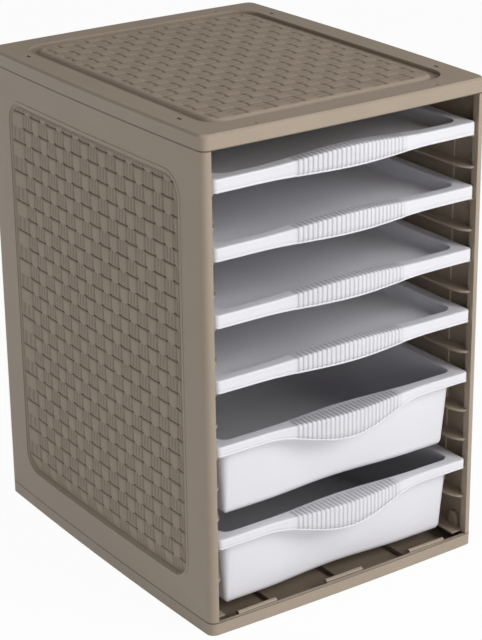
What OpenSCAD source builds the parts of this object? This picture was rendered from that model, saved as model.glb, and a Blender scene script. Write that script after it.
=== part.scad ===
// Desktop drawer tower for papers and craft parts: a clipped case of five moulded
// panels with pairs of runners inside, four shallow trays and two deep drawers.
// The origin is the middle of the face that the case stands on. +Z is up and the
// open front faces -Y. All sizes are in millimetres.

/* [Case] */
// Width across the front posts, without the bow of the sides
case_w = 275; // [250:1:320]
// Depth from front rim to rear rim, without their bow
case_d = 330; // [320:1:360]
// Height of the whole case
case_h = 420; // [416:1:460]
// Radius of the four upright corners
corner_r = 7; // [5.5:0.5:10]
// How far the sides swell outwards at mid depth
side_bow = 2.6; // [1:0.1:4]
// How far the front and rear edges swell outwards at mid width
front_bow = 1.9; // [1:0.1:3]
// Thickness of the side and back panels at their frames
panel_t = 4.2; // [3.8:0.1:5]
// Width of the front posts, seen from the front
post_w = 8; // [7:0.5:11]
// Depth of the front posts
post_d = 7; // [6:0.5:10]
// Width of the side panels' returns across the rear
return_w = 12; // [10:1:18]

/* [Base and lid] */
// Height of the base
base_h = 11; // [9:0.5:16]
// Height of the lid
lid_h = 12.5; // [11:0.5:18]
// Wall of the base and lid
shell_t = 2.2; // [1.6:0.1:2.6]
// Thickness of the rim of the base and the skirt of the lid
rim_t = 3; // [2.4:0.1:3.8]
// Bevel along the outer top edge of the lid
edge_bevel = 1.8; // [0.8:0.1:2.2]
// Width of the flat border on top of the lid
border_w = 20; // [18:0.5:24]
// Width of the channel between that border and the pad
channel_w = 7; // [5:0.5:10]
// Depth of the channel below the border
channel_d = 3.2; // [2:0.1:4]
// Width of the slanted foot of the pad
pad_slope = 4; // [3:0.5:6]
// Radius of the pad's corners
pad_r = 16; // [10:1:24]
// Length of the clip slots in the lid
slot_l = 7; // [5:0.5:9]
// Width of the clip slots
slot_w = 2.6; // [2.4:0.1:3.4]
// Distance of the clip slots from the corners
slot_end = 50; // [40:1:60]
// Distance of the side and rear clip slots from the lid's edge
slot_in = 12.5; // [11.5:0.5:14]
// Length of the bars behind the front rim
bar_l = 38; // [24:1:50]
// Radius of the bars behind the front rim
bar_r = 2.5; // [2:0.1:3]
// Distance between the middles of the bars
bar_pitch = 89; // [60:1:95]
// Height of the snap tabs above the base
tab_h = 14; // [8:1:18]
// Width of the snap tabs
tab_w = 11; // [8:1:14]
// Distance of the snap tabs from the front and rear of the case
tab_end = 19; // [17:1:30]

/* [Woven fields] */
// Plain frame above and below the woven field of a wall
field_edge = 26; // [20:1:34]
// Plain frame in front of the woven field of a side
field_front = 33; // [26:1:40]
// Plain frame behind the woven field of a side
field_rear = 36; // [26:1:40]
// Plain frame beside the woven field of the back
field_back = 30; // [24:1:40]
// Radius of the woven fields' corners
field_r = 18; // [10:1:26]
// Depth of the woven fields at their edges
field_d = 3.4; // [2.6:0.1:3.6]
// Depth of the woven fields inside their sloping edges
field_top = 1; // [0.9:0.1:1.4]
// Width of the sloping edges of the woven fields
field_slope = 14; // [8:1:18]
// How far a wall swells inwards behind its woven field
field_swell = 1.6; // [1.2:0.1:2]
// Width of the bead round a side's woven field
bead_w = 2.2; // [1.4:0.1:3]
// Height of that bead
bead_h = 0.5; // [0.2:0.1:0.8]
// Pitch of the weave's columns, and of its rows on the walls
cell = 13.4; // [12:0.1:15]
// Pitch of the weave's rows on the lid
lid_row = 15; // [12:0.1:16]
// Gap between the raised cells of the weave
cell_gap = 1.4; // [1:0.1:2.4]
// Height of the raised cells
cell_h = 0.7; // [0.4:0.05:0.8]
// Plain edge of a woven field in front of the weave
weave_in = 8.8; // [4:0.2:14]
// Plain foot of a woven field below the weave
weave_foot = 15.9; // [8:0.1:24]

/* [Runners] */
// Distance between the tops of two runners
runner_pitch = 27.1; // [26:0.1:27.6]
// Distance from the lid's lower edge to the top of the first runner
runner_first = 34.4; // [32:0.1:36]
// Thickness of a runner
runner_t = 1.8; // [1.4:0.1:2.4]
// How far a runner reaches inwards past the front post
runner_reach = 10; // [8:0.5:12]
// Length of the rounding at the front end of a runner
runner_round = 20; // [10:1:30]
// Height of the clip windows in the rear corners
window_h = 37; // [20:1:50]
// Height of the middle of the clip windows
window_z = 341; // [200:1:350]
// How far the clip windows reach in from the rear
window_in = 12; // [8:0.5:14]
// How much higher the upper edge of a clip window lies at the rear
window_slant = 5; // [0:0.5:8]

/* [Trays and drawers] */
// Gap between a rim and the front posts
side_gap = 1.8; // [1.2:0.1:3]
// Distance of the rims behind the front posts
front_set = 0.5; // [0:0.1:2]
// Gap between a rim and the back panel's tongues
rear_gap = 1; // [0.6:0.1:4]
// Gap between a rim and the runners that it rests on
seat_gap = 0.3; // [0.2:0.05:0.5]
// Gap between a body and the inner edges of its runners
body_gap = 1; // [0.6:0.1:2]
// Wall of the trays and drawers
bin_t = 1.6; // [1.2:0.1:2]
// Thickness of the rims' top
rim_plate = 2; // [1.6:0.1:2.6]
// Thickness of the rims' skirt
skirt_t = 1.8; // [1.4:0.1:2.4]
// Radius of the rims' corners
rim_r = 4; // [3:0.5:6]
// Width of the front flange beside the handle
front_flange = 10.5; // [8:0.5:14]
// Width of the ribbed zone of the handle
ribs_w = 105; // [70:1:120]
// Number of ribs on the handle
ribs = 25; // [15:2:31]
// Height of the ribs
rib_h = 0.7; // [0.4:0.05:1]
// Width over which a handle swells out of the rim
handle_w = 172; // [140:1:190]

/* [Tray] */
// Height of the tray's skirt
tray_skirt = 11; // [9:0.5:14]
// Depth of the tray below its rim
tray_depth = 13.5; // [12:0.5:20]
// Bevel along the lower edge of the tray's body
tray_bevel = 2; // [1:0.5:4]
// Radius of the tray's upright corners
tray_r = 12; // [8:0.5:16]
// How far the tray's body narrows on each side
tray_draft = 1.2; // [0.5:0.1:2]
// How far the tray's handle swells forwards
tray_bulge = 8; // [4:0.5:12]
// How far the opening follows the handle forwards
tray_follow = 5; // [0:0.5:7]
// How far the tray's handle rises
tray_rise = 6; // [2:0.5:9]

/* [Drawer] */
// Height of the drawer's skirt
drawer_skirt = 8.7; // [7:0.1:11]
// Depth of the drawer below its rim
drawer_depth = 70; // [40:1:72]
// Bevel along the lower edge of the drawer's body
drawer_bevel = 3.5; // [1:0.5:6]
// Radius of the drawer's upright corners
drawer_r = 8; // [6:0.5:14]
// How far the drawer's body narrows on each side
drawer_draft = 5.4; // [2:0.1:6.4]
// How far the drawer's handle swells forwards
drawer_bulge = 7.5; // [4:0.5:12]
// How far the drawer's handle hangs below its skirt
drawer_drop = 13.5; // [6:0.5:18]
// Width of the arch below the drawer's handle
drop_w = 160; // [120:1:180]
// Depth of the finger hollow in the drawer's front
hollow_d = 4; // [1:0.5:6]

/* [Hidden] */

taupe = [0.54, 0.48, 0.42];
white = [0.95, 0.95, 0.96];

hw = case_w / 2;
hd = case_d / 2;
lid_z = case_h - lid_h;      // lower edge of the lid
panel_h = lid_z - base_h;    // height of the side and back panels
far = 2 * case_d;            // longer than anything that it cuts
eps = 0.01;
lap = 0.6;                   // how deep fused shapes run into each other
bow_steps = 12;              // straight pieces of a bowed edge
arc_step = 15;               // degrees between the points of an arc
fit = 0.3;                   // clearance of parts that clip together
arm_t = slot_w - 2 * fit;    // thickness of the clip arms
arm_w = slot_l - 2 * fit;    // width of the clip arms
tab_t = 2;                   // thickness of the snap tabs
pad_top = 0.6;               // how far the pad stands above the border
tongue_t = 1.8;              // thickness of the back panel's side tongues
tongue_w = 7;                // their width on the back panel itself
rib_t = 1.6;                 // thickness of the stiffening ribs
rib_rise = 4;                // height of the stiffening ribs over the floor
runner_set = 2;              // how far the runners start behind the rims
slab_steps = 40;             // straight pieces along the top and bottom of a front
swell_steps = 14;            // straight pieces beside the ribs of a handle
rib_tops = [0.4, 0.2];       // half width of a rib at its foot and top, in pitches
foot_gap = 1.5;              // least gap between the lowest drawer and the base
lift_gap = 5;                // least gap between a drawer and the rim below it
trays = 4;                   // number of trays
push_part = 0.9;             // width of the bodies' swell, in widths of the handle
round_fn = 48;               // sides of a round

runner_x = hw - post_w - runner_reach;           // inner edge of the runners
body_x = runner_x - body_gap;                    // half width of a tray's body
rim_w = case_w - 2 * (post_w + side_gap);        // width of the rims
tongue_y = hd - panel_t - fit - tongue_t;        // front of the back panel's tongues
rear_y = tongue_y - rear_gap;                    // rear of the rims and runners
rim_d = rear_y + hd - front_set;                 // depth of the rims
side_flange = rim_w / 2 - body_x + bin_t;        // rim beside the opening
body_y0 = front_flange - bin_t;                  // front of a body behind the rim
body_y1 = rim_d - side_flange + bin_t;           // rear of a body
body_d = body_y1 - body_y0;
body_cy = (body_y0 + body_y1) / 2;
rib_pitch = ribs_w / ribs;

// Levels are counted from the top. As many runners are made as the height has room
// for: the lowest drawer hangs from the last but one, and the trays share the top.
function runner_z(level) = lid_z - runner_first - level * runner_pitch;
drawer_hang = drawer_depth - drawer_skirt - seat_gap;
lowest_z = base_h + bar_r / 2 + foot_gap + drawer_hang;
runners = 2 + floor((runner_z(0) - lowest_z) / runner_pitch);
drawer_span = ceil((drawer_depth + lift_gap) / runner_pitch);
drawer_levels = [runners - 2 - drawer_span, runners - 2];
tray_step = floor(drawer_levels[0] / trays);
tray_levels = [0, tray_step, 2 * tray_step, 3 * tray_step];

// A smooth hump that is 1 at x = 0 and runs out to 0 at x = w / 2
function hump(x, w) = abs(x) < w / 2 ? (1 + cos(360 * x / w)) / 2 : 0;

// Points of a corner arc round c, from angle a0 to a0 + 90
function corner(c, r, a0) =
  [for (a = [a0 : arc_step : a0 + 90]) c + r * [cos(a), sin(a)]];

// Plan of the case, inset by i: bowed edges between round corners
function case_plan(i) = let (x = hw - corner_r, y = hd - corner_r, r = corner_r - i)
  concat(
    [for (k = [1 - bow_steps : 2 : bow_steps - 1]) let (t = k / bow_steps)
      [hw - i + side_bow * (1 - t * t), t * y]],
    corner([x, y], r, 0),
    [for (k = [bow_steps - 1 : -2 : 1 - bow_steps]) let (t = k / bow_steps)
      [t * x, hd - i + front_bow * (1 - t * t)]],
    corner([-x, y], r, 90),
    [for (k = [bow_steps - 1 : -2 : 1 - bow_steps]) let (t = k / bow_steps)
      [i - hw - side_bow * (1 - t * t), t * y]],
    corner([-x, -y], r, 180),
    [for (k = [1 - bow_steps : 2 : bow_steps - 1]) let (t = k / bow_steps)
      [t * x, i - hd - front_bow * (1 - t * t)]],
    corner([x, -y], r, 270));

module case_prism(i, z0, z1) {
  translate([0, 0, z0]) linear_extrude(z1 - z0) polygon(case_plan(i));
}

// A rounded rectangle about the origin
function round_rect(w, d, r) = concat(
  corner([w / 2 - r, d / 2 - r], r, 0), corner([r - w / 2, d / 2 - r], r, 90),
  corner([r - w / 2, r - d / 2], r, 180), corner([w / 2 - r, r - d / 2], r, 270));

module round_block(w, d, r, z0, z1) {
  translate([0, 0, z0]) linear_extrude(z1 - z0) polygon(round_rect(w, d, r));
}

// Raised cells of a weave of w by h, in a checker of columns and rows. The first
// column starts x_in from the left edge and the first row y_in from the lower edge.
module weave(w, h, row, x_in, y_in) {
  columns = floor((w - 2 * x_in) / cell);
  rows = floor((h - y_in - min(x_in, y_in)) / row);
  for (i = [0 : columns - 1], j = [0 : rows - 1])
    if ((i + j) % 2 == 1)
      translate([x_in - w / 2 + i * cell + cell_gap / 2, y_in - h / 2 + j * row + cell_gap / 2])
        square([cell - cell_gap, row - cell_gap]);
}

// The swollen ground of a woven field of w by h, which slopes up from its edges
module pillow(w, h) {
  rise = field_d + side_bow;
  inset = field_slope * rise / (field_d - field_top);
  linear_extrude(rise, scale = [1 - 2 * inset / w, 1 - 2 * inset / h], slices = 1)
    polygon(round_rect(w, h, field_r));
}

// ---- Base ----

module base_floor() {
  case_prism(rim_t - lap, 0, shell_t);
  for (x = [-hw / 2, 0, hw / 2])
    translate([x - rib_t / 2, rim_t - hd, shell_t - lap])
      cube([rib_t, case_d - 2 * rim_t, rib_rise + lap]);
  for (y = [-hd / 2, 0, hd / 2])
    translate([rim_t - hw, y - rib_t / 2, shell_t - lap])
      cube([case_w - 2 * rim_t, rib_t, rib_rise + lap]);
}

// A rounded bar on a web, close behind the front rim
module clip_bar() {
  bar_y = rim_t + bar_r + 2 * fit - hd - front_bow / 2;
  bar_z = base_h - bar_r / 2;
  translate([-bar_l / 2, bar_y, bar_z]) rotate([0, 90, 0])
    cylinder(r = bar_r, h = bar_l, $fn = round_fn);
  translate([-bar_l / 2, bar_y - rib_t / 2, shell_t - lap])
    cube([bar_l, rib_t, bar_z - shell_t + lap]);
}

// An upright arm with a round top that snaps inside a side panel
module snap_tab() {
  wall_x = hw - panel_t - fit - tab_t;
  top_r = tab_w / 2;
  translate([wall_x, 0, 0]) rotate([90, 0, 90]) linear_extrude(tab_t) union() {
    translate([-top_r, shell_t - lap]) square([tab_w, base_h + tab_h - top_r - shell_t + lap]);
    translate([0, base_h + tab_h - top_r]) circle(r = top_r, $fn = round_fn);
  }
}

module base() {
  color(taupe) union() {
    difference() {
      case_prism(0, 0, base_h);
      case_prism(rim_t, shell_t, base_h + eps);
    }
    base_floor();
    for (x = [-bar_pitch, 0, bar_pitch])
      translate([x, 0, 0]) clip_bar();
    for (side = [0, 1], y = [tab_end - hd, hd - tab_end])
      mirror([side, 0, 0]) translate([0, y, 0]) snap_tab();
  }
}

// ---- Lid ----

pad_w = case_w - 2 * (border_w + channel_w);   // pad at its foot
pad_d = case_d - 2 * (border_w + channel_w);
floor_z = case_h - channel_d;                  // top of the channel's floor

// The pad: a slanted foot and a flat top
module pad(shrink, z1) {
  w = pad_w - 2 * shrink;
  d = pad_d - 2 * shrink;
  r = pad_r - shrink;
  h = z1 - floor_z + shrink + lap;
  translate([0, 0, floor_z - shrink - lap])
    linear_extrude(h, scale = [1 - 2 * pad_slope / w, 1 - 2 * pad_slope / d], slices = 1)
      polygon(round_rect(w, d, r));
}

module lid_weave() {
  w = pad_w - 2 * pad_slope;
  d = pad_d - 2 * pad_slope;
  columns = floor((w - cell) / cell);
  rows = floor((d - cell) / lid_row);
  weave(w, d, lid_row, (w - columns * cell) / 2, (d - rows * lid_row) / 2);
}

module lid_slots() {
  for (x = [slot_end - hw, hw - slot_end], s = [0, 1])
    mirror([0, s, 0]) translate([x, hd - (s == 0 ? slot_in : slot_in / 2), 0])
      translate([-slot_l / 2, -slot_w / 2, lid_z]) cube([slot_l, slot_w, far]);
  for (y = [slot_end - hd, hd - slot_end], s = [0, 1])
    mirror([s, 0, 0]) translate([hw - slot_in, y, 0])
      translate([-slot_w / 2, -slot_l / 2, lid_z]) cube([slot_w, slot_l, far]);
}

module lid() {
  channel_in = 2 * border_w;
  bevel_scale = [1 - 2 * edge_bevel / (case_w + 2 * side_bow),
                 1 - 2 * edge_bevel / (case_d + 2 * front_bow)];
  color(taupe) difference() {
    union() {
      difference() {
        union() {
          case_prism(0, lid_z, case_h - edge_bevel);
          translate([0, 0, case_h - edge_bevel])
            linear_extrude(edge_bevel, scale = bevel_scale, slices = 1) polygon(case_plan(0));
        }
        round_block(case_w - channel_in, case_d - channel_in, pad_r + channel_w, floor_z, far);
        case_prism(rim_t, lid_z - eps, floor_z - shell_t);
        // hollow below the border
        difference() {
          case_prism(rim_t, floor_z - shell_t - lap, case_h - shell_t);
          round_block(case_w - channel_in + 2 * shell_t, case_d - channel_in + 2 * shell_t,
                      pad_r + channel_w + shell_t, 0, far);
        }
      }
      pad(0, case_h + pad_top - cell_h);
      intersection() {
        pad(0, case_h + pad_top);
        translate([0, 0, floor_z]) linear_extrude(far) lid_weave();
      }
    }
    pad(shell_t, case_h + pad_top - cell_h - shell_t);
    lid_slots();
  }
}

// ---- Side panels and back ----

// Everything outside the case's plan inset by i, for cutting a recess in a wall
module outside(i) {
  difference() {
    translate([-far / 2, -far / 2, 0]) cube([far, far, case_h]);
    case_prism(i, -eps, case_h + eps);
  }
}

side_w = case_d - field_front - field_rear;      // length of a side's woven field
field_h = panel_h - 2 * field_edge;              // height of the walls' woven fields

// Sets 2-D or 3-D shapes upright on the right-hand side, facing outwards from x
module on_side(x) {
  translate([x, (field_front - field_rear) / 2, base_h + panel_h / 2]) rotate([90, 0, 90])
    children();
}

// Rounded field on the right-hand side, as a prism along X
module side_field(grow) {
  on_side(hw - far / 4) linear_extrude(far / 2)
    polygon(round_rect(side_w + 2 * grow, field_h + 2 * grow, field_r + grow));
}

// What is cut away above a side's woven ground and its raised cells
module side_recess() {
  difference() {
    intersection() {
      side_field(0);
      outside(field_d);
    }
    intersection() {
      on_side(hw - field_d) pillow(side_w, field_h);
      case_prism(field_top, 0, case_h);
    }
    intersection() {
      on_side(hw - field_d + cell_h) pillow(side_w, field_h);
      case_prism(field_top - cell_h, 0, case_h);
      on_side(hw - field_d) linear_extrude(far) weave(side_w, field_h, cell, weave_in, weave_foot);
    }
  }
}

// Plan of a runner: straight inner edge with an elliptical front end
function runner_plan(x0) = let (y0 = front_set - hd + runner_set)
  concat(
    [[hw + side_bow, y0], [hw + side_bow, rear_y], [x0, rear_y]],
    [for (a = [180 : arc_step : 270])
      [x0 + (hw - x0 - post_w) * (1 + cos(a)), y0 + runner_round * (1 + sin(a))]]);

module runner(z_top) {
  intersection() {
    translate([0, 0, z_top - runner_t]) linear_extrude(runner_t)
      polygon(runner_plan(runner_x));
    case_prism(panel_t - lap, 0, case_h);
  }
}

// Stiffening flange along the top or bottom edge of a side panel
module edge_flange(z0) {
  intersection() {
    translate([runner_x, post_d - hd - lap, z0])
      cube([far, rear_y + hd - post_d + lap, runner_t]);
    case_prism(panel_t - lap, 0, case_h);
  }
}

module clip_arm() {
  translate([hw - slot_in - arm_t / 2, -arm_w / 2, lid_z - runner_t])
    cube([arm_t, arm_w, lid_h + runner_t - shell_t / 2]);
}

module side_panel() {
  difference() {
    union() {
      // skin with its front post and rear return
      difference() {
        case_prism(0, base_h, lid_z);
        case_prism(panel_t, base_h - eps, lid_z + eps);
        translate([hw - return_w - far, -far / 2, 0]) cube([far, far, case_h]);
        translate([hw - post_w - far, -far, 0]) cube([far, far, case_h]);
      }
      intersection() {
        case_prism(0, base_h, lid_z);
        translate([hw - post_w, -far, 0]) cube([far, far - hd + post_d, case_h]);
      }
      for (level = [0 : runners - 1])
        runner(runner_z(level));
      edge_flange(base_h);
      edge_flange(lid_z - runner_t);
      // swelling of the wall behind the woven field
      intersection() {
        side_field(0);
        difference() {
          case_prism(panel_t - lap, 0, case_h);
          case_prism(panel_t + field_swell, -eps, case_h + eps);
        }
      }
      // bead round the woven field
      intersection() {
        side_field(bead_w);
        case_prism(-bead_h, 0, case_h);
        outside(lap);
      }
    }
    side_recess();
    // room for the base's snap tabs in the lower flange
    for (y = [tab_end - hd, hd - tab_end])
      translate([hw - panel_t - tab_t - 3 * fit, y - tab_w / 2 - fit, base_h - eps])
        cube([tab_t + 2 * fit, tab_w + 2 * fit, runner_t + 2 * eps]);
    // clip window in the rear corner
    translate([hw - return_w, hd - window_in, window_z - window_h / 2])
      rotate([90, 0, 90]) linear_extrude(far)
        polygon([[0, 0], [2 * window_in, 0],
                 [2 * window_in, window_h + 2 * window_slant], [0, window_h]]);
  }
  for (y = [slot_end - hd, hd - slot_end])
    translate([0, y, 0]) clip_arm();
}

module side_right() {
  color(taupe) side_panel();
}

module side_left() {
  color(taupe) mirror([1, 0, 0]) side_panel();
}

// Sets shapes upright on the back panel, facing outwards from y
module on_back(y) {
  translate([0, y, base_h + panel_h / 2]) rotate([90, 0, 180]) children();
}

// Flange along the top or bottom edge of the back
module back_flange(z0) {
  depth = slot_in + arm_t + rib_t - panel_t;
  translate([fit - runner_x, hd - panel_t - depth, z0])
    cube([2 * (runner_x - fit), depth + lap, runner_t]);
}

module back() {
  back_x = hw - return_w - fit;
  tongue_x = hw - corner_r;
  field_w = 2 * (hw - return_w - field_back);
  columns = floor((field_w - weave_in) / cell);
  tongue_z = base_h + runner_t + fit;
  color(taupe) difference() {
    union() {
      intersection() {
        difference() {
          case_prism(0, base_h, lid_z);
          case_prism(panel_t, base_h - eps, lid_z + eps);
        }
        translate([-back_x, 0, 0]) cube([2 * back_x, far, case_h]);
      }
      // swelling of the panel behind the woven field
      intersection() {
        on_back(0) linear_extrude(far) polygon(round_rect(field_w, field_h, field_r));
        difference() {
          case_prism(panel_t - lap, 0, case_h);
          case_prism(panel_t + field_swell, -eps, case_h + eps);
        }
      }
      // tongues that lap behind the side panels' returns
      for (s = [0, 1])
        mirror([s, 0, 0]) translate([back_x - tongue_w, tongue_y, tongue_z]) {
          cube([tongue_w + tongue_x - back_x, tongue_t, lid_z + base_h - 2 * tongue_z]);
          cube([tongue_w, tongue_t + fit + lap, lid_z + base_h - 2 * tongue_z]);
        }
      back_flange(base_h);
      back_flange(lid_z - runner_t);
      for (x = [slot_end - hw, hw - slot_end])
        translate([x - arm_w / 2, hd - slot_in - arm_t / 2, lid_z - runner_t])
          cube([arm_w, arm_t, lid_h + runner_t - shell_t / 2]);
    }
    difference() {
      intersection() {
        on_back(0) linear_extrude(far) polygon(round_rect(field_w, field_h, field_r));
        outside(field_d);
      }
      intersection() {
        on_back(hd - field_d) pillow(field_w, field_h);
        case_prism(field_top, 0, case_h);
      }
      intersection() {
        on_back(hd - field_d + cell_h) pillow(field_w, field_h);
        case_prism(field_top - cell_h, 0, case_h);
        on_back(hd - field_d) linear_extrude(far)
          weave(field_w, field_h, cell, (field_w - columns * cell) / 2, weave_foot);
      }
    }
  }
}

// ---- Trays and drawers ----
// Their own frame: x = 0 in the middle, y = 0 at the front of the rim and z = 0 on
// the rim's top face.

// Front edge of a rim, left to right: it swells forwards at the handle, with ribs
function rim_front(inset, bulge, ribbed) = let (half = handle_w / 2, n = swell_steps) concat(
  [for (k = [0 : n]) let (x = -half + k * (half - ribs_w / 2) / n)
    [x, inset - bulge * hump(x, handle_w)]],
  [for (k = [0 : ribs - 1], s = [-rib_tops[0], -rib_tops[1], rib_tops[1], rib_tops[0]])
    let (x = (k + 1 / 2 + s) * rib_pitch - ribs_w / 2)
    [x, inset - bulge * hump(x, handle_w) - (ribbed && abs(s) == rib_tops[1] ? rib_h : 0)]],
  [for (k = [n : -1 : 0]) let (x = half - k * (half - ribs_w / 2) / n)
    [x, inset - bulge * hump(x, handle_w)]]);

function rim_plan(inset, bulge, ribbed) =
  let (x = rim_w / 2 - rim_r, r = rim_r - inset) concat(
    corner([-x, rim_r], r, 180),
    rim_front(inset, bulge, ribbed),
    corner([x, rim_r], r, 270),
    corner([x, rim_d - rim_r], r, 0),
    corner([-x, rim_d - rim_r], r, 90));

// Plan of a body about its own middle, inset by i. Its front edge steps by
// push forwards (or backwards, if negative) at mid width.
function body_plan(i, push, body_r) =
  let (x = body_x - body_r, y = body_d / 2 - body_r, r = body_r - i, w = handle_w * push_part)
  concat(
    corner([-x, -y], r, 180),
    [for (k = [2 - bow_steps : 2 : bow_steps - 2]) let (u = k / bow_steps * w / 2)
      [u, i - body_d / 2 - push * hump(u, w)]],
    corner([x, -y], r, 270),
    corner([x, y], r, 0),
    corner([-x, y], r, 90));

// Elevation of the front: from bottom to top, with an arch on each
module front_slab(top, rise, bottom, drop, y1) {
  half = rim_w / 2 + lap;
  n = slab_steps;
  translate([0, y1, 0]) rotate([90, 0, 0]) linear_extrude(y1 + far / 4) polygon(concat(
    [for (k = [0 : n]) let (x = (2 * k / n - 1) * half) [x, top + rise * hump(x, handle_w)]],
    [for (k = [n : -1 : 0]) let (x = (2 * k / n - 1) * half)
      [x, bottom - drop * hump(x, drop_w)]]));
}

// A body that narrows downwards, with a rounded lower edge
module body_form(i, push, r, bevel, z_bottom, draft) {
  w = 2 * (body_x - i);
  d = body_d - 2 * i;
  low = z_bottom + bevel;
  s = [1 - 2 * draft / w, 1 - 2 * draft / d];
  mirror([0, 0, 1]) linear_extrude(-low, scale = s, slices = 1) polygon(body_plan(i, push, r));
  translate([0, 0, low + eps]) mirror([0, 0, 1])
    linear_extrude(bevel + eps, scale = [1 - 2 * bevel / w, 1 - 2 * bevel / d], slices = 1)
      scale([s[0], s[1]]) polygon(body_plan(i, push, r));
}

module bin(skirt, depth, r, bevel, draft, bulge, rise, drop, push) {
  reach = front_flange + bin_t + max(0, -push);   // depth of the handle's zone
  difference() {
    union() {
      difference() {
        union() {
          translate([0, 0, -skirt]) linear_extrude(skirt) polygon(rim_plan(0, bulge, true));
          intersection() {
            translate([0, 0, -skirt - drop]) linear_extrude(skirt + drop + rise)
              polygon(rim_plan(0, bulge, true));
            front_slab(0, rise, -skirt, drop, reach);
          }
        }
        // hollow below the rim's top
        translate([0, 0, -far / 2]) linear_extrude(far / 2 - rim_plate)
          polygon(rim_plan(skirt_t, bulge, false));
        intersection() {
          translate([0, 0, -rim_plate - lap]) linear_extrude(rise + lap)
            polygon(rim_plan(skirt_t, bulge, false));
          front_slab(-rim_plate, rise, -far / 4, 0, reach - bin_t);
        }
      }
      // a drawer's ribs run on over its flange
      if (drop > 0)
        intersection() {
          linear_extrude(rib_h) polygon(rim_plan(0, bulge, true));
          for (k = [0 : ribs - 1])
            translate([(k + 1 / 2 - rib_tops[0]) * rib_pitch - ribs_w / 2, -far / 2, -lap])
              cube([2 * rib_tops[0] * rib_pitch, far / 2 + reach - bin_t, rib_h + lap]);
        }
      translate([0, body_cy, -rim_plate / 2]) body_form(0, push, r, bevel, rim_plate / 2 - depth, draft);
      // wall behind the raised part of the handle
      intersection() {
        translate([0, body_cy, -rim_plate]) linear_extrude(rim_plate + rise)
          polygon(body_plan(0, push, r));
        front_slab(-rim_plate / 2, rise, -rim_plate, 0, reach);
      }
    }
    translate([0, body_cy, 0]) body_form(bin_t, push, r, bevel, bin_t - depth, draft);
    translate([0, body_cy, -eps]) linear_extrude(far) polygon(body_plan(bin_t, push, r));
  }
}

module tray(level) {
  color(white) translate([0, front_set - hd, runner_z(level) + seat_gap + tray_skirt])
    bin(tray_skirt, tray_depth, tray_r, tray_bevel, tray_draft, tray_bulge, tray_rise, 0,
        tray_follow);
}

module drawer(level) {
  color(white) translate([0, front_set - hd, runner_z(level) + seat_gap + drawer_skirt])
    bin(drawer_skirt, drawer_depth, drawer_r, drawer_bevel, drawer_draft, drawer_bulge, 0,
        drawer_drop, -hollow_d);
}

base();
lid();
side_left();
side_right();
back();
tray(tray_levels[0]);  // tray_1
tray(tray_levels[1]);  // tray_2
tray(tray_levels[2]);  // tray_3
tray(tray_levels[3]);  // tray_4
drawer(drawer_levels[0]);  // drawer_1
drawer(drawer_levels[1]);  // drawer_2
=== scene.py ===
import math

import bpy
import numpy as np
from mathutils import Matrix, Vector


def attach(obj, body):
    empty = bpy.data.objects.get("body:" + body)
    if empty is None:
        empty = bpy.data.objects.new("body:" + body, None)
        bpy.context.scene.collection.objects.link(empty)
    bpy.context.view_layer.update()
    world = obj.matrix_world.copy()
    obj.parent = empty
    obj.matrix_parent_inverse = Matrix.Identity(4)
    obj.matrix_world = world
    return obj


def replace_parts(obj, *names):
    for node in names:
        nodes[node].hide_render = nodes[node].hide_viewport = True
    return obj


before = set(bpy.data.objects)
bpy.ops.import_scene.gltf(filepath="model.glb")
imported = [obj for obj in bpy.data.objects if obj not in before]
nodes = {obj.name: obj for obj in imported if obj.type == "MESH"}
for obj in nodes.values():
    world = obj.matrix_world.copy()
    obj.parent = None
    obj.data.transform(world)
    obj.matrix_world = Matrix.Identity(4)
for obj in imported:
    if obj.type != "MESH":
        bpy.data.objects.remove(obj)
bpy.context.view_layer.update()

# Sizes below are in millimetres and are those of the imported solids.
MM = 0.001

# ---- The case ----
HALF_W = 137.5          # half width across the front posts
HALF_D = 165.0          # half depth between the straight rims
SIDE_BOW = 2.6          # how far the sides swell outwards at mid depth
REAR_BOW = 1.9          # how far the rear swells at mid width
CORNER = 7.0            # radius of the upright corners
BASE_Z = 11.0           # joint between base and panels
BED_Z = 3.0             # middle of the painted shade on the base's bed, which is 2.2 thick
BED_HALF = (133.0, 161.0)       # half width and half depth of the bed
LID_Z = 407.5           # joint between panels and lid
FIELD_MIDDLE = 209.25   # height of the middle of the walls' woven fields
FIELD_H = 344.5         # their height
FIELD_R = 18.0          # radius of their corners
FIELD_D = 3.4           # depth of the recess at their edges
SIDE_HALF = 130.5       # half width of a side's field
SIDE_MIDDLE = -1.5      # where its middle lies from front to rear
REAR_HALF = 95.5        # half width of the back's field
CELL = 13.4             # pitch of the weave
ROW_Z = 307.5           # height of one of the joints between the walls' rows
LID_ROW = 15.0          # pitch of the lid's rows, from front to rear
CHANNEL_Z = 416.8       # floor of the lid's channel
CHANNEL_HALF = (118.2, 145.7)   # half width and half depth of its outline
CLIP_Z = 418.8          # about the top of the clip arms down in the lid's slots
PAD_Z = 419.9           # ground of the lid's pad
PAD_HALF = (110.5, 138.0)       # its half width and half depth
PAD_R = 16.0            # radius of its corners

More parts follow.
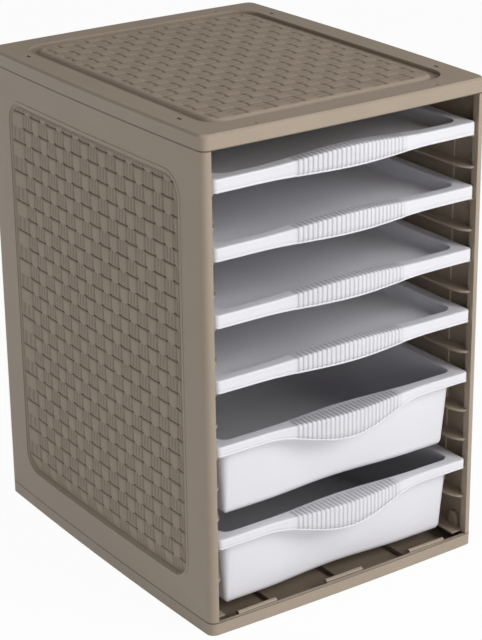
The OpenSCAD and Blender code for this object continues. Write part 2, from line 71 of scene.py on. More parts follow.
# ---- The trays and drawers, from the middle of the rim's front edge ----
RIM_HALF = 127.7        # half width of a rim
RIM_D = 322.2           # depth of a rim
RIM_R = 4.0             # radius of its corners
RIM_FRONT = -164.5      # where the rims start
PLATE = 2.0             # thickness of a rim's top
SKIRT_T = 1.8           # thickness of its skirt
BODY_HALF = 118.5       # half width of a body
BODY_FRONT = 8.9        # front of a body
BODY_REAR = 313.0       # rear of a body
WALL = 1.6              # wall of a body
HANDLE_W = 172.0        # width over which a handle swells out
PUSH_W = 154.8          # width over which a body follows or falls back
DROP_W = 160.0          # width of the arch below a drawer's handle
RIB_PITCH = 4.2         # pitch of the ribs on a handle
RIBS_HALF = 52.5        # half width of the ribbed zone
RIB_H = 0.69            # height of the ribs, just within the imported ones
BRIM_R = 1.2            # radius where a body's wall turns into its rim
EDGE_R = 1.5            # radius along a rim's outer edge
LIP_H = 1.5             # height of the smooth lip below the ribs
FOOT_R = 0.6            # rounding along the skirt's lower edge

TRAY = dict(skirt=11.0, depth=13.5, bend=3.0, corner=12.0, draft=1.2,
            swell=8.0, push=5.0, rise=6.0, drop=0.0)
DRAWER = dict(skirt=8.7, depth=70.0, bend=7.5, corner=9.0, draft=5.4,
              swell=7.5, push=-4.0, rise=0.0, drop=13.5)
RIM_TOPS = {"tray_1": 384.4, "tray_2": 330.2, "tray_3": 276.0, "tray_4": 221.8,
            "drawer_1": 165.3, "drawer_2": 84.0}


def side_wall(y):
    """x of the right side's outer face."""
    return HALF_W + SIDE_BOW * (1.0 - (y / (HALF_D - CORNER)) ** 2)


def rear_wall(x):
    """y of the back's outer face."""
    return HALF_D + REAR_BOW * (1.0 - (x / (HALF_W - CORNER)) ** 2)


# ---- Colours and materials ----

def srgb(code):
    """An sRGB hex colour as the linear colour that the shaders take."""
    parts = [int(code[k:k + 2], 16) / 255 for k in (1, 3, 5)]
    return [c / 12.92 if c <= 0.04045 else ((c + 0.055) / 1.055) ** 2.4 for c in parts] + [1.0]


def add(tree, kind, inputs=None, **settings):
    """Adds a node. Inputs are values or the sockets that feed them."""
    made = tree.nodes.new(kind)
    for key, value in settings.items():
        setattr(made, key, value)
    for key, value in (inputs or {}).items():
        if isinstance(value, bpy.types.NodeSocket):
            tree.links.new(value, made.inputs[key])
        else:
            made.inputs[key].default_value = value
    return made


def new_material(name):
    """An empty material and its node tree."""
    made = bpy.data.materials.new(name)
    made.use_nodes = True
    made.node_tree.nodes.clear()
    return made, made.node_tree


def painted_shade_places(tree, where):
    """1 where painted shade darkens the case: along the joints above the base and below
    the lid, in the lid's channel, down in its clip slots and on the base's bed. 0 elsewhere."""
    place = add(tree, "ShaderNodeSeparateXYZ", {0: where})
    facing = add(tree, "ShaderNodeSeparateXYZ",
                 {0: add(tree, "ShaderNodeNewGeometry").outputs["Normal"]})
    level = add(tree, "ShaderNodeMath", {0: facing.outputs["Z"]}, operation="ABSOLUTE").outputs[0]

    def within(value, middle, reach, soft):
        """1 where the value lies within reach of the middle, running out over soft."""
        off = add(tree, "ShaderNodeMath", {0: value, 1: middle}, operation="SUBTRACT")
        far = add(tree, "ShaderNodeMath", {0: off.outputs[0]}, operation="ABSOLUTE")
        return add(tree, "ShaderNodeMapRange",
                   {"Value": far.outputs[0], "From Min": reach, "From Max": reach + soft,
                    "To Min": 1.0, "To Max": 0.0}).outputs["Result"]

    def combined(one, other, operation="MULTIPLY"):
        return add(tree, "ShaderNodeMath", {0: one, 1: other}, operation=operation).outputs[0]

    def inside(half, soft):
        """1 inside a rectangle round the middle of the case."""
        return combined(within(place.outputs["X"], 0.0, half[0] * MM, soft * MM),
                        within(place.outputs["Y"], 0.0, half[1] * MM, soft * MM))

    height = place.outputs["Z"]
    joints = combined(within(height, BASE_Z * MM, 0.35 * MM, 0.5 * MM),
                      within(height, LID_Z * MM, 0.35 * MM, 0.5 * MM), "MAXIMUM")
    joints = combined(joints, within(level, 0.0, 0.3, 0.2))
    channel = combined(within(height, CHANNEL_Z * MM, 0.4 * MM, 3.2 * MM),
                       inside(CHANNEL_HALF, 0.1))
    bed = combined(inside(BED_HALF, 1.0), within(height, BED_Z * MM, 4.0 * MM, 3.0 * MM))
    slots = combined(within(height, CLIP_Z * MM, 0.4 * MM, 0.1 * MM),
                     within(level, 1.0, 0.01, 0.01))
    # the painted shade is weaker in the channel and on the bed, which are open
    return combined(combined(joints, combined(channel, 0.3), "MAXIMUM"),
                    combined(slots, combined(bed, 0.5), "MAXIMUM"), "MAXIMUM")


def polypropylene(name, tone, shade, gloss, grain, groove, with_painted_shade=False):
    """Injection-moulded polypropylene: an even colour through and through, a satin
    skin from the spark-eroded mould, and slow changes of tone where the melt flowed.
    Tone and shade are its lighter and darker colour. Groove is the colour of its painted
    shade: down in the weave's joints and between its fibres, between the handles' ribs, and on
    the case in its own joints, channel, clip slots and bed."""
    made, tree = new_material(name)
    where = add(tree, "ShaderNodeTexCoord").outputs["Object"]
    # flow marks some 45 mm long
    flow = add(tree, "ShaderNodeTexNoise",
               {"Vector": where, "Scale": 22.0, "Detail": 3.0, "Roughness": 0.5})
    colour = add(tree, "ShaderNodeMix", {0: flow.outputs["Fac"], 6: srgb(tone), 7: srgb(shade)},
                 data_type="RGBA").outputs[2]
    # painted shade: a mask of places on the case, or the groove attribute of the skins and
    # mouldings, mixes the colour towards groove
    if with_painted_shade:
        depth = painted_shade_places(tree, where)
    else:
        depth = add(tree, "ShaderNodeAttribute", attribute_name="groove").outputs["Fac"]
    colour = add(tree, "ShaderNodeMix", {0: depth, 6: colour, 7: srgb(groove)},
                 data_type="RGBA").outputs[2]
    # eroded grain: about 0.1 mm on the real skin, drawn at 0.8 mm so that it shows
    fine = add(tree, "ShaderNodeTexNoise",
               {"Vector": where, "Scale": 1250.0, "Detail": 2.0, "Roughness": 0.6})
    rough = add(tree, "ShaderNodeMapRange",
                {"Value": fine.outputs["Fac"], "To Min": gloss - 0.05, "To Max": gloss + 0.07})
    bump = add(tree, "ShaderNodeBump",
               {"Height": fine.outputs["Fac"], "Strength": grain, "Distance": 0.0001})
    skin = add(tree, "ShaderNodeBsdfPrincipled",
               {"Base Color": colour, "Roughness": rough.outputs["Result"], "IOR": 1.49,
                "Normal": bump.outputs["Normal"]})
    add(tree, "ShaderNodeOutputMaterial", {"Surface": skin.outputs["BSDF"]})
    return made


# the case's frames: warm grey-brown, satin, with painted shade along their joints, in the lid's
# channel and clip slots and on the base's bed
taupe_plastic = polypropylene("taupe_moulded_polypropylene", "#A59684", "#9C8D7C", 0.46, 0.35,
                              "#55483C", with_painted_shade=True)
# the woven fields: the same plastic, a little duller, with painted shade darkening the joints and
# between the fibres
woven_plastic = polypropylene("woven_moulded_polypropylene", "#A49583", "#9A8B7A", 0.55, 0.5,
                              "#5E5143")
# trays and drawers: opaque white with a soft sheen, with painted shade making them greyer between
# the ribs
white_plastic = polypropylene("white_moulded_polypropylene", "#E2E1E5", "#DDDCE0", 0.36, 0.15,
                              "#77757B")


# ---- Meshes ----

def piece(name, points, faces, material, body, groove):
    """Makes a smooth mesh from points in mm and lets it ride on its body."""
    mesh = bpy.data.meshes.new(name)
    mesh.from_pydata((np.asarray(points) * MM).tolist(), [], faces)
    mesh.shade_smooth()
    mesh.materials.append(material)
    # groove: how strongly painted shade darkens each point, read by the material
    kept = mesh.attributes.new("groove", "FLOAT", "POINT")
    kept.data.foreach_set("value", np.asarray(groove, np.float32))
    made = bpy.data.objects.new(name, mesh)
    bpy.context.scene.collection.objects.link(made)
    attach(made, body)
    return made


def bands(rows, count, closed):
    """Quads between rows of points that lie one after another."""
    here = np.arange(count if closed else count - 1)
    after = (here + 1) % count
    return [face for k in range(rows - 1)
            for face in np.stack([k * count + here, k * count + after,
                                  (k + 1) * count + after, (k + 1) * count + here], 1).tolist()]


def ease(t):
    """Runs smoothly from 0 to 1 as t does."""
    t = np.clip(t, 0.0, 1.0)
    return t * t * (3.0 - 2.0 * t)


def hump(x, width):
    """A smooth hump that is 1 in the middle and runs out at half its width."""
    return np.where(np.abs(x) < width / 2, (1.0 + np.cos(2.0 * np.pi * x / width)) / 2.0, 0.0)


# ---- Trays and drawers: one wall followed from the floor over the rim to the underside ----

RIB_STEPS = (0.0, 0.1, 0.15, 0.2, 0.25, 0.3, 0.5, 0.7, 0.75, 0.8, 0.85, 0.9)
ribbed_x = np.array([(k + s) * RIB_PITCH - RIBS_HALF for k in range(25) for s in RIB_STEPS])
beside_x = np.linspace(HANDLE_W / 2, RIBS_HALF, 16)
HANDLE_X = np.concatenate([-beside_x[:-1], ribbed_x, [RIBS_HALF], beside_x[:-1][::-1]])
PLAIN = np.array([0.0, 0.25, 0.5, 0.75])       # points between a corner and the handle
ARC = np.radians(np.linspace(0.0, 90.0, 9))    # angles round an upright corner
BEND = np.radians([15, 30, 45, 60, 75, 90])    # angles round the bend at a floor's edge
LONG = np.linspace(0.0, 1.0, 8)[1:-1]          # points along the sides and the rear


def ribs_at(x):
    """1 on top of a rib, 0 between the ribs and beside them."""
    part = np.mod((x + RIBS_HALF) / RIB_PITCH, 1.0)
    return np.where(np.abs(x) <= RIBS_HALF, ease((0.42 - np.abs(part - 0.5)) / 0.2), 0.0)


def in_ribs(x):
    """1 in the ribbed zone of a handle, running out just beside it."""
    return ease((RIBS_HALF + 3.0 - np.abs(x)) / 5.0)


def ring(half, front, rear, corner, swell, width, z):
    """One closed line round a bin, always with the same points in the same order:
    left front corner, front, right front corner, right, rear corners and left."""
    end = half - corner
    left = -end + PLAIN * (end - HANDLE_W / 2)
    x = np.concatenate([left, HANDLE_X, -left[::-1]])
    y = front - swell * hump(x, width)
    cos, sin = corner * np.cos(ARC), corner * np.sin(ARC)
    near, far = front + corner, rear - corner
    run = LONG * (rear - front - 2 * corner)
    parts = [np.stack([-end - cos[:-1], near - sin[:-1]], 1),
             np.stack([x, y], 1),
             np.stack([end + sin[1:], near - cos[1:]], 1),
             np.stack([np.full(len(LONG), half), near + run], 1),
             np.stack([end + cos, far + sin], 1),
             np.stack([end - LONG * 2 * end, np.full(len(LONG), rear)], 1),
             np.stack([-end - sin, far + cos], 1),
             np.stack([np.full(len(LONG), -half), far - run], 1)]
    plan = np.concatenate(parts)
    # the fourth value is how strongly painted shade darkens the point there
    return np.column_stack([plan, np.full(len(plan), z), np.zeros(len(plan))])


# the front's points in a ring
FRONT = slice(len(ARC) - 1, len(ARC) - 1 + 2 * len(PLAIN) + len(HANDLE_X))


def lift(line, amount, width):
    """Raises or lowers the front of a ring by a hump."""
    line[FRONT, 2] += amount * hump(line[FRONT, 0], width)
    return line


def bin_lines(skirt, depth, bend, corner, draft, swell, push, rise, drop):
    """The rings of a tray or drawer, from the middle of its floor to its underside."""
    floor_z = WALL - depth
    beyond = 4.0            # how far inside its bend a floor's innermost ring lies

    # raised, lowered, ribs_out, ribs_up, lip and the painted shade between the ribs run from
    # 0 to 1: how much of each the ring takes
    def body(inset, z, raised):
        line = ring(BODY_HALF - inset, BODY_FRONT + inset, BODY_REAR - inset,
                    max(corner - inset, 0.8), push, PUSH_W, z)
        return lift(line, rise * raised, HANDLE_W)

    def rim(inset, z, raised, ribs_out=0.0, ribs_up=0.0, lowered=0.0, painted_shade=0.0, lip=0.0):
        line = ring(RIM_HALF - inset, inset, RIM_D - inset, max(RIM_R - inset, 0.8),
                    swell, HANDLE_W, z)
        lift(line, rise * raised, HANDLE_W)
        lift(line, -drop * lowered, DROP_W)
        rib = ribs_at(line[FRONT, 0])
        zone = in_ribs(line[FRONT, 0])
        line[FRONT, 1] -= RIB_H * (ribs_out * rib + lip * zone)
        line[FRONT, 2] += RIB_H * ribs_up * rib
        # painted shade between the ribs, weaker on their tops
        line[FRONT, 3] = painted_shade * zone * (1.0 - 0.75 * rib)
        return line

    lines = []
    # inside: floor, bend, wall and brim
    foot = WALL + draft
    lines += [body(foot + bend + beyond, floor_z, 0.0), body(foot + bend, floor_z, 0.0)]
    for a in BEND:
        lines.append(body(foot + bend * (1 - math.sin(a)), floor_z + bend * (1 - math.cos(a)), 0.0))
    top = -BRIM_R
    start = floor_z + bend
    for t in (0.25, 0.5, 0.75, 1.0):
        lines.append(body(foot - draft * t, start + (top - start) * t, t))
    for a in np.radians([22, 45, 68, 90]):
        lines.append(body(WALL - BRIM_R * (1 - math.cos(a)), top + BRIM_R * math.sin(a), 1.0))
    # flange: the ribs run right over it, lower on the trays, with painted shade between them
    over = 1.0 if drop else 0.6
    inner = lines[-1]
    outer = rim(EDGE_R, 0.0, 1.0, 0.0, over, painted_shade=0.5)
    for t in (0.12, 0.3, 0.65):
        line = inner + (outer - inner) * t
        line[FRONT, 2] = inner[FRONT, 2] + (outer[FRONT, 2] - inner[FRONT, 2]) * ease(t / 0.3)
        line[FRONT, 3] = outer[FRONT, 3] * ease(t / 0.3)
        lines.append(line)
    # outer edge and skirt, the painted shade between the ribs thinning down the edge
    for a in np.radians([0, 18, 36, 54, 72, 90]):
        lines.append(rim(EDGE_R * (1 - math.sin(a)), -EDGE_R * (1 - math.cos(a)), 1.0,
                         math.sin(a), over * math.cos(a), painted_shade=0.5 - 0.25 * math.sin(a)))
    # the ribs end above a smooth lip along the lower edge, with painted shade between them and
    # under their ends
    lip_top = LIP_H + FOOT_R - skirt
    for t in (0.33, 0.67, 1.0):
        lines.append(rim(0.0, -EDGE_R + (EDGE_R + lip_top) * t, 1.0 - t, 1.0, 0.0, t, painted_shade=0.25))
    lines += [rim(0.25, lip_top - 0.25, 0.0, 0.2, 0.0, 1.0, painted_shade=0.8),
              rim(0.2, lip_top - 0.55, 0.0, 0.0, 0.0, 1.0, painted_shade=0.5, lip=0.4),
              rim(0.0, lip_top - 0.85, 0.0, 0.0, 0.0, 1.0, lip=1.0),
              rim(0.0, FOOT_R - skirt, 0.0, 0.0, 0.0, 1.0, lip=1.0),
              rim(0.2, 0.2 - skirt, 0.0, 0.0, 0.0, 1.0, lip=0.8),
              rim(0.6, -skirt, 0.0, 0.0, 0.0, 1.0, lip=0.5),
              rim(1.2, -skirt, 0.0, 0.0, 0.0, 1.0), rim(1.6, 0.2 - skirt, 0.0, 0.0, 0.0, 1.0),
              rim(SKIRT_T, FOOT_R - skirt, 0.0, 0.0, 0.0, 1.0)]
    # inner face of the skirt, up to the flange
    inner_h = skirt - FOOT_R - PLATE - FOOT_R
    for t in (0.5, 1.0):
        lines.append(rim(SKIRT_T, FOOT_R - skirt + inner_h * t, t, 0.0, 0.0, 1 - t))
    lines += [rim(SKIRT_T + 0.2, -PLATE - 0.2, 1.0), rim(SKIRT_T + 0.6, -PLATE, 1.0)]
    # underside of the flange, outside of the body and bottom
    slide = draft / (depth - bend)
    lines += [body(-0.6, -PLATE, 1.0), body(-0.1, -PLATE - 0.4, 1.0)]
    for t in (0.25, 0.5, 0.75, 1.0):
        z = -PLATE - 1.0 + (1.0 + PLATE + bend - depth) * t
        lines.append(body(-slide * z, z, 1.0 - t))
    for a in BEND:
        lines.append(body(draft + bend * (1 - math.cos(a)), bend - depth - bend * math.sin(a), 0.0))
    lines.append(body(draft + bend + beyond, -depth, 0.0))
    return lines


def make_bin(name, shape, z_top):
    """Makes the moulding that replaces a tray or drawer, its rim's top at z_top."""
    lines = bin_lines(**shape)
    count = len(lines[0])
    points = np.concatenate(lines)
    # how strongly painted shade darkens each point
    painted_shade = points[:, 3]
    points = points[:, :3] + [0.0, RIM_FRONT, z_top]
    faces = bands(len(lines), count, True)
    faces.append(list(range(count))[::-1])
    faces.append(list(range((len(lines) - 1) * count, len(lines) * count)))
    made = piece(name + "_moulding", points, faces, white_plastic, name, painted_shade)
    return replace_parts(made, name)


for bin_name, height in RIM_TOPS.items():
    make_bin(bin_name, TRAY if bin_name.startswith("tray") else DRAWER, height)


# ---- The weave ----

FIBRES = 3              # fine ribs over a column's width, fewer than real so that they show
FIBRE_H = 0.3           # their height, in heights of the weave
OVERLAP = 2.4           # how far a joint and its fibres run on past their column's edges
JOINT_D = 0.75          # depth of the joints, in heights of the weave
SEAM = 0.06             # half width over which neighbouring cells are compared
DEEPER = 1.5            # height of the walls' weave, in mm for each height


def is_ribbed(column, row):
    """True in every other cell, where the upright, ribbed strip lies on top."""
    return np.mod(column + row, 2) == 0


def over_under(column, a, row, b):
    """Height of a plain weave without its joints. a and b run from 0 to 1 across and
    along a cell. An upright strip lies high at its lower end, b = 0, and dives slowly.
    The smooth strip across it swells between the upright strips beside it."""
    beside = np.minimum(a, 1.0 - a)
    upright = 0.5 - 0.35 * ease((b - 0.4) / 0.6) - 0.12 * (1.0 - ease(beside / 0.1))
    across = 0.12 + 0.4 * (1.0 - (2.0 * a - 1.0) ** 4) - 0.14 * (1.0 - ease(b / 0.1))
    return np.where(is_ribbed(column, row), upright, across)


def joint_below(column, row, b):
    """1 in the joint at the lower end of an upright strip, 0 away from it."""
    return np.where(is_ribbed(column, row), 1.0 - ease(b / 0.13), 1.0 - ease((1.0 - b) / 0.08))


def cells(value, edges):
    """The number of the cell that each value is in, and how far through it."""
    edges = np.asarray(edges)
    k = np.clip(np.searchsorted(edges, value, side="right") - 1, 0, len(edges) - 2)
    return k, np.clip((value - edges[k]) / (edges[k + 1] - edges[k]), 0.0, 1.0)


def woven_relief(p, q, p_edges, q_edges, shift, arch):
    """The weave's height at p across and q along the upright strips, and how far down
    between the fibres each point lies. Where two cells meet, the lower height holds."""
    heights, joints, ribbed = [], [], []
    for reach in (-OVERLAP, -OVERLAP / 2, -SEAM, SEAM, OVERLAP / 2, OVERLAP):
        column, a = cells(p + reach, p_edges)
        row, b = cells(q + arch * (1.0 - (2.0 * a - 1.0) ** 2), q_edges)
        if abs(reach) == SEAM:
            heights.append(over_under(column + shift, a, row, b))
        joints.append(joint_below(column + shift, row, b))
        ribbed.append(is_ribbed(column + shift, row))
    furrows = 0.5 + 0.5 * np.cos(2 * np.pi * FIBRES * cells(p, p_edges)[1])
    between = np.where(np.logical_or.reduce(ribbed), furrows, 0.0)
    return np.minimum.reduce(heights) - JOINT_D * np.maximum.reduce(joints), between


def line_places(edges, steps, low, high, border):
    """Grid lines: fractions of every cell, and close ones along the field's borders."""
    inside = [e0 + s * (e1 - e0) for e0, e1 in zip(edges[:-1], edges[1:]) for s in steps]
    rims = [low + b for b in border] + [high - b for b in border]
    kept = [v for v in inside if low + border[-1] + 0.5 < v < high - border[-1] - 0.5]
    return np.array(sorted(kept + rims))


# where grid lines cross a cell, denser at the joints, and their distances from a border
ACROSS_STEPS = np.arange(12) / 12
ALONG_STEPS = (0.0, 0.03, 0.07, 0.12, 0.18, 0.3, 0.45, 0.6, 0.75, 0.88, 0.93, 0.97)
BORDER = (-0.3, 0.0, 0.6, 1.1, 1.6, 2.1, 2.6, 3.4)
PAD_BORDER = (-0.3, 0.0, 0.6, 1.3, 2.1, 3.0, 3.8, 4.6)


def field_grid(u_lines, v_lines, half_u, half_v, corner):
    """A grid drawn in at the corners, and each point's distance from the outline."""
    u, v = np.meshgrid(u_lines, v_lines)
    up = np.clip(np.abs(v) - (half_v - corner), 0.0, corner)
    reach = half_u - corner + np.sqrt(corner ** 2 - up ** 2)
    start = half_u - 2 * corner
    beyond = np.clip(np.abs(u) - start, 0.0, None)
    u = np.sign(u) * (np.minimum(np.abs(u), start) + beyond * (reach - start) / (half_u - start))
    qx = np.abs(u) - (half_u - corner)
    qy = np.abs(v) - (half_v - corner)
    outside = np.hypot(np.maximum(qx, 0), np.maximum(qy, 0)) + np.minimum(np.maximum(qx, qy), 0)
    return u, v, corner - outside


def woven_skin(name, u, v, height, weave, between, place):
    """A woven field as one skin that follows its wall, with painted shade low down in its
    relief and between its fibres."""
    # painted shade: darker where the relief lies low, in the joints, and between the fibres
    groove = np.clip((0.05 - weave) / 0.45, 0.0, 1.0)
    groove = np.maximum(groove, 0.5 * between)
    points = place(u, v, height).reshape(-1, 3)
    rows, count = u.shape
    return piece(name, points, bands(rows, count, False), woven_plastic, "case",
                 groove.ravel())


def wall_ground(edge, foot, relief):
    """A wall's recess: a sloping bead along its edges, a groove behind it, the woven
    ground, and a long scoop at its foot."""
    bead = 0.35 + 1.2 * ease((edge - 0.6) / 1.7) - 0.2 * ease((edge - 2.6) / 1.4)
    scoop = 1.9 * (1.0 - ease(foot / 19.0))
    return -bead - scoop * ease(edge / 2.4) + DEEPER * relief * ease((edge - 2.0) / 2.0)


def wall_field(half_u, u_lines, u_edges, shift):
    """The grid, height, relief and fibres of a wall's woven field."""
    half_v = FIELD_H / 2
    v_edges = ROW_Z - FIELD_MIDDLE + CELL * np.arange(-22, 8)
    v_lines = line_places(v_edges, ALONG_STEPS, -half_v, half_v, BORDER)
    grown = -BORDER[0]
    u, v, edge = field_grid(u_lines, v_lines, half_u + grown, half_v + grown, FIELD_R + grown)
    edge = edge - grown
    relief, between = woven_relief(u, v, u_edges, v_edges, shift, 0.25)
    foot = v + half_v
    # below the lowest row only the upright strips' fibres run on
    rows = ease((foot - 9.0) / 6.0)
    relief = relief * rows + 0.2 * (1.0 - rows)
    inner = ease((edge - 2.0) / 2.0)
    height = wall_ground(edge, foot, relief - FIBRE_H * between)
    # the relief that sets the painted shade, with a line of painted shade in the groove behind the
    # bead
    seen = relief * inner + np.where(np.abs(edge - 2.5) < 0.5, -0.15, 0.1) * (1.0 - inner)
    return u, v, height, seen, between * inner


def side_skin(name, side):
    """The woven field of a side panel; side is -1 on the left and 1 on the right."""
    # columns from front to rear: a narrow one, seventeen of full width and a wide one
    full = np.array([41.8 + CELL * k for k in range(18)]) - HALF_D - SIDE_MIDDLE
    u_edges = np.concatenate([[-SIDE_HALF], full, [SIDE_HALF]])
    u_lines = line_places(u_edges[:-1], ACROSS_STEPS, -SIDE_HALF, SIDE_HALF, BORDER)
    wide = u_edges[-2] + (u_edges[-1] - u_edges[-2]) * ACROSS_STEPS
    u_lines = np.array(sorted(set(u_lines) | {w for w in wide if w < SIDE_HALF - 3.5}))

    def place(u, v, height):
        y = u + SIDE_MIDDLE
        return np.stack([side * (side_wall(y) + height), y, v + FIELD_MIDDLE], 2)

    return woven_skin(name, *wall_field(SIDE_HALF, u_lines, u_edges, 1), place)


def rear_skin(name):
    """The woven field of the back panel."""
    u_edges = np.concatenate([[-REAR_HALF], CELL * (np.arange(14) - 6.5), [REAR_HALF]])
    u_lines = line_places(u_edges, ACROSS_STEPS, -REAR_HALF, REAR_HALF, BORDER)

    def place(u, v, height):
        return np.stack([u, rear_wall(u) + height, v + FIELD_MIDDLE], 2)

    return woven_skin(name, *wall_field(REAR_HALF, u_lines, u_edges, 0), place)


def lid_skin(name):
    """The pad on the lid: a rounded foot in the channel and a woven top, whose ribbed
    strips run across the case and end in a deep joint on their right."""
    half_u, half_v = PAD_HALF
    # x and y of the joints; the strips run along -x
    x_edges = np.array([-half_u] + [-8.0 + CELL * k for k in range(-7, 9)] + [half_u])
    y_edges = np.array([-half_v] + [123.5 - LID_ROW * n for n in range(16, -1, -1)] + [half_v])
    u_lines = line_places(x_edges, ALONG_STEPS, -half_u, half_u, PAD_BORDER)
    v_lines = line_places(y_edges, ACROSS_STEPS, -half_v, half_v, PAD_BORDER)
    u, v, edge = field_grid(u_lines, v_lines, half_u, half_v, PAD_R)
    relief, between = woven_relief(v, -u, y_edges, -x_edges[::-1], 0, 1.6)
    slope = 4.2             # width of the pad's sloping foot
    woven = ease((edge - slope) / 1.6)
    height = (np.where(edge <= 0.0, -0.25, (PAD_Z - CHANNEL_Z) * ease(edge / slope) ** 0.8)
              + (0.9 * relief - 0.15 - FIBRE_H * between) * woven)
    # painted shade lies at the foot of the pad in the channel and thins out up its slope
    weave = relief * woven + 0.1 * (1.0 - woven) - 0.22 * (1.0 - ease(edge / 3.0))

    def place(u, v, height):
        return np.stack([u, v, CHANNEL_Z + height], 2)

    return woven_skin(name, u, v, height, weave, 0.6 * between * woven, place)


side_skin("left_woven_field", -1.0)
side_skin("right_woven_field", 1.0)
rear_skin("rear_woven_field")
lid_skin("lid_woven_pad")


# ---- The case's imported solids: welded, softened edges, and open below the woven skins ----

def inside_field(co, half_u, half_v):
    """True inside a rounded field, more than 0.3 mm from its outline."""
    qx = np.abs(co[:, 0]) - (half_u - FIELD_R)
    qy = np.abs(co[:, 1]) - (half_v - FIELD_R)
    gap = FIELD_R - (np.hypot(np.maximum(qx, 0), np.maximum(qy, 0))
                     + np.minimum(np.maximum(qx, qy), 0))
    return gap > 0.3


def below_skin(name, co):
    """The points of a node that its woven skin stands for."""
    x, y, z = co.T
    if name == "lid":
        # the pad's woven top, inside the skin's sloping foot
        return (z > 419.0) & (np.abs(x) < 108.0) & (np.abs(y) < 136.0)
    if name in ("side_left", "side_right"):
        deep = side_wall(y) - np.abs(x)
        field = inside_field(np.stack([y - SIDE_MIDDLE, z - FIELD_MIDDLE], 1), SIDE_HALF,
                             FIELD_H / 2)
    elif name == "back":
        deep = rear_wall(x) - y
        field = inside_field(np.stack([x, z - FIELD_MIDDLE], 1), REAR_HALF, FIELD_H / 2)
    else:
        return np.zeros(len(co), bool)
    return field & (deep < FIELD_D + 0.15)


def soft_shading():
    """Node group that drops the imported normals and shades smooth up to an angle."""
    group = bpy.data.node_groups.new("soft_shading", "GeometryNodeTree")
    group.interface.new_socket("Geometry", in_out="INPUT", socket_type="NodeSocketGeometry")
    group.interface.new_socket("Geometry", in_out="OUTPUT", socket_type="NodeSocketGeometry")
    start = add(group, "NodeGroupInput")
    bare = add(group, "GeometryNodeRemoveAttribute",
               {"Geometry": start.outputs[0], "Name": "custom_normal"})
    faces = add(group, "GeometryNodeSetShadeSmooth",
                {"Geometry": bare.outputs[0], "Shade Smooth": True}, domain="FACE")
    angle = add(group, "GeometryNodeInputMeshEdgeAngle")
    flat = add(group, "FunctionNodeCompare", {0: angle.outputs[0], 1: math.radians(32)},
               data_type="FLOAT", operation="LESS_THAN")
    edges = add(group, "GeometryNodeSetShadeSmooth",
                {"Geometry": faces.outputs[0], "Shade Smooth": flat.outputs[0]}, domain="EDGE")
    add(group, "NodeGroupOutput", {0: edges.outputs[0]})
    return group


soft = soft_shading()


def dress(name, edge):
    """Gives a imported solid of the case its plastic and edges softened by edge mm, and
    opens it below its woven skin."""
    node = nodes[name]
    co = np.empty(len(node.data.vertices) * 3)
    node.data.vertices.foreach_get("co", co)
    hidden = below_skin(name, co.reshape(-1, 3) / MM)
    node.data.materials.clear()
    node.data.materials.append(taupe_plastic)
    first = node.modifiers.new("bare", "NODES")
    first.node_group = soft
    weld = node.modifiers.new("weld", "WELD")
    weld.merge_threshold = 1e-5
    if hidden.any():
        group = node.vertex_groups.new(name="below_skin")
        group.add(np.flatnonzero(hidden).tolist(), 1.0, "REPLACE")
        mask = node.modifiers.new("mask", "MASK")
        mask.vertex_group = "below_skin"
        mask.invert_vertex_group = True
    bevel = node.modifiers.new("softened_edges", "BEVEL")
    bevel.width = edge * MM
    bevel.segments = 2
    bevel.limit_method = "ANGLE"
    bevel.angle_limit = math.radians(38)
    last = node.modifiers.new("smooth", "NODES")
    last.node_group = soft
    even = node.modifiers.new("even_normals", "WEIGHTED_NORMAL")
    even.keep_sharp = True


for case_part, edge in (("base", 0.5), ("lid", 0.7), ("side_left", 0.4), ("side_right", 0.4),
                        ("back", 0.4)):
    dress(case_part, edge)


# ---- Floor, light and camera ----

def stage_floor():
    """A wide pale floor. The camera and reflections see it mostly as white as the
    backdrop, with some of the object's shadow."""
    mesh = bpy.data.meshes.new("floor")
    size = 6.0
    mesh.from_pydata([(-size, -size, 0), (size, -size, 0), (size, size, 0), (-size, size, 0)],
                     [], [(0, 1, 2, 3)])
    made, tree = new_material("pale_floor")
    path = add(tree, "ShaderNodeLightPath")
    seen = add(tree, "ShaderNodeMath", {0: path.outputs["Is Camera Ray"],
                                        1: path.outputs["Is Glossy Ray"]}, operation="MAXIMUM")
    part = add(tree, "ShaderNodeMath", {0: seen.outputs[0], 1: 0.96}, operation="MULTIPLY")
    matt = add(tree, "ShaderNodeBsdfDiffuse", {"Color": srgb("#F4F4F4")})
    white = add(tree, "ShaderNodeEmission", {"Color": srgb("#FFFFFF"), "Strength": 1.0})
    both = add(tree, "ShaderNodeMixShader",
               {0: part.outputs[0], 1: matt.outputs[0], 2: white.outputs[0]})
    add(tree, "ShaderNodeOutputMaterial", {"Surface": both.outputs[0]})
    mesh.materials.append(made)
    floor = bpy.data.objects.new("floor", mesh)
    bpy.context.scene.collection.objects.link(floor)


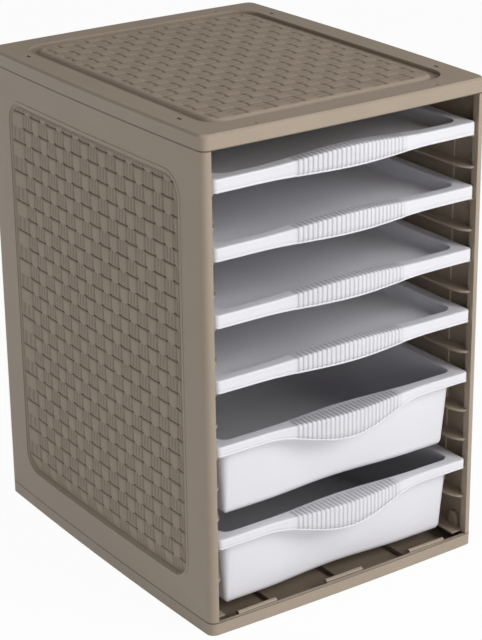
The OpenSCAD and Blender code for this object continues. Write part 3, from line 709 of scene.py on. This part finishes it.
def plain_world():
    """A weak even light, and a white backdrop for the camera."""
    world = bpy.data.worlds.new("studio")
    bpy.context.scene.world = world
    world.use_nodes = True
    tree = world.node_tree
    tree.nodes.clear()
    path = add(tree, "ShaderNodeLightPath")
    soft_light = add(tree, "ShaderNodeBackground", {"Color": srgb("#F6F8FF"), "Strength": 0.14})
    white = add(tree, "ShaderNodeBackground", {"Color": srgb("#FFFFFF"), "Strength": 1.0})
    both = add(tree, "ShaderNodeMixShader", {0: path.outputs["Is Camera Ray"],
                                             1: soft_light.outputs[0], 2: white.outputs[0]})
    add(tree, "ShaderNodeOutputWorld", {"Surface": both.outputs[0]})


def softbox(name, place, target, width, height, power):
    """A flat lamp aimed at its target, in metres and watts."""
    lamp = bpy.data.lights.new(name, "AREA")
    lamp.shape = "RECTANGLE"
    lamp.size = width
    lamp.size_y = height
    lamp.energy = power
    made = bpy.data.objects.new(name, lamp)
    made.location = place
    made.rotation_euler = (Vector(target) - Vector(place)).to_track_quat("-Z", "Y").to_euler()
    bpy.context.scene.collection.objects.link(made)


def camera():
    """Stands at the left in front of the case and above it, with a slight roll."""
    place = Vector((-0.9308, -1.3656, 0.8562))
    target = Vector((0.00873, 0.0, 0.1874))
    roll = -0.0123
    ahead = (target - place).normalized()
    right = ahead.cross(Vector((0, 0, 1))).normalized()
    up = right.cross(ahead)
    across = math.cos(roll) * right + math.sin(roll) * up
    above = math.cos(roll) * up - math.sin(roll) * right
    data = bpy.data.cameras.new("camera")
    data.sensor_width = 36.0
    data.lens = 115.57
    data.clip_end = 50.0
    made = bpy.data.objects.new("camera", data)
    turn = Matrix((across, above, -ahead)).transposed().to_4x4()
    made.matrix_world = Matrix.Translation(place) @ turn
    bpy.context.scene.collection.objects.link(made)
    bpy.context.scene.camera = made


stage_floor()
plain_world()
softbox("key_softbox", (1.0, -1.9, 1.5), (0.0, 0.0, 0.2), 1.2, 1.2, 38.0)
softbox("front_softbox", (-0.5, -2.5, 0.7), (0.0, 0.0, 0.2), 1.1, 0.8, 16.0)
softbox("top_softbox", (0.0, 0.0, 2.4), (0.0, 0.0, 0.4), 1.2, 1.2, 10.0)
softbox("left_softbox", (-2.1, 1.2, 0.45), (0.0, 0.0, 0.25), 1.4, 0.8, 9.5)
camera()
bpy.context.scene.view_settings.view_transform = "Standard"
